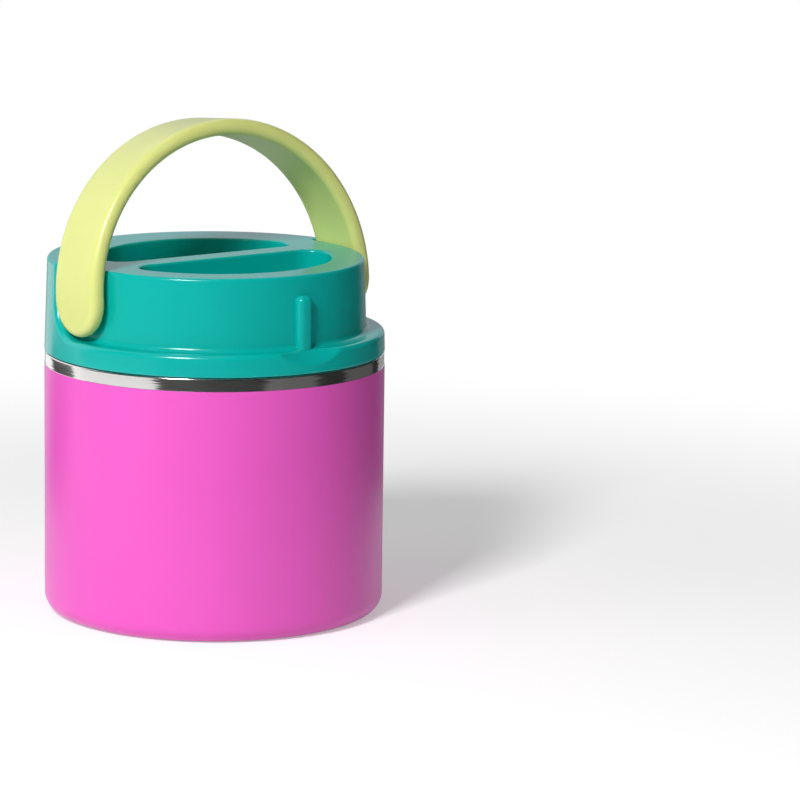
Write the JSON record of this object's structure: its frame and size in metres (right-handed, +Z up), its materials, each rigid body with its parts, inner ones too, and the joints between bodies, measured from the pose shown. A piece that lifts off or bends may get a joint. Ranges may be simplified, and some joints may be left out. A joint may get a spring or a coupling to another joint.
{
  "type": "insulated food jar",
  "caption": "Round vacuum food jar with a coated steel body, an insulated screw-on lid with finger wells, and a half-round carry handle that folds forward.",
  "frame": {"origin": "centre of the base, on the surface that the jar stands on", "axes": "+Z up along the jar's axis; the handle's pivot axis is along X; -Y faces the lid's recess, rib and finger scoop, towards which the handle folds"},
  "size_m": [0.104, 0.104, 0.1515],
  "materials": {
    "coated_steel": "satin",
    "bare_steel": "satin",
    "lid_plastic": "satin",
    "handle_plastic": "satin",
    "plug_plastic": "satin",
    "silicone": "matte",
    "foam": "matte",
    "sealing_glass": "gloss",
    "getter_metal": "matte"
  },
  "bodies": {
    "jar": {"outer_shell": "coated_steel", "base_cup": "coated_steel", "base_cover_disc": "bare_steel", "vacuum_port_seal": "sealing_glass", "getter": "getter_metal", "inner_liner": "bare_steel"},
    "gasket": {"lid_gasket": "silicone"},
    "lid": {"lid_cap": "lid_plastic", "lid_liner": "plug_plastic", "lid_foam": "foam"},
    "handle": {"carry_handle": "handle_plastic"}
  },
  "joints": [
    {"name": "lid_lift", "type": "slide", "parent": "jar", "child": "gasket", "axis": [0, 0, 1], "range_m": [0, 0.05]},
    {"name": "lid_turn", "type": "hinge", "parent": "gasket", "child": "lid", "pos_m": [0, 0, 0.093], "axis": [0, 0, 1], "range_deg": [0, 360]},
    {"name": "handle_fold", "type": "hinge", "parent": "lid", "child": "handle", "pos_m": [0, 0, 0.0996], "axis": [1, 0, 0], "range_deg": [0, 79]}
  ]
}
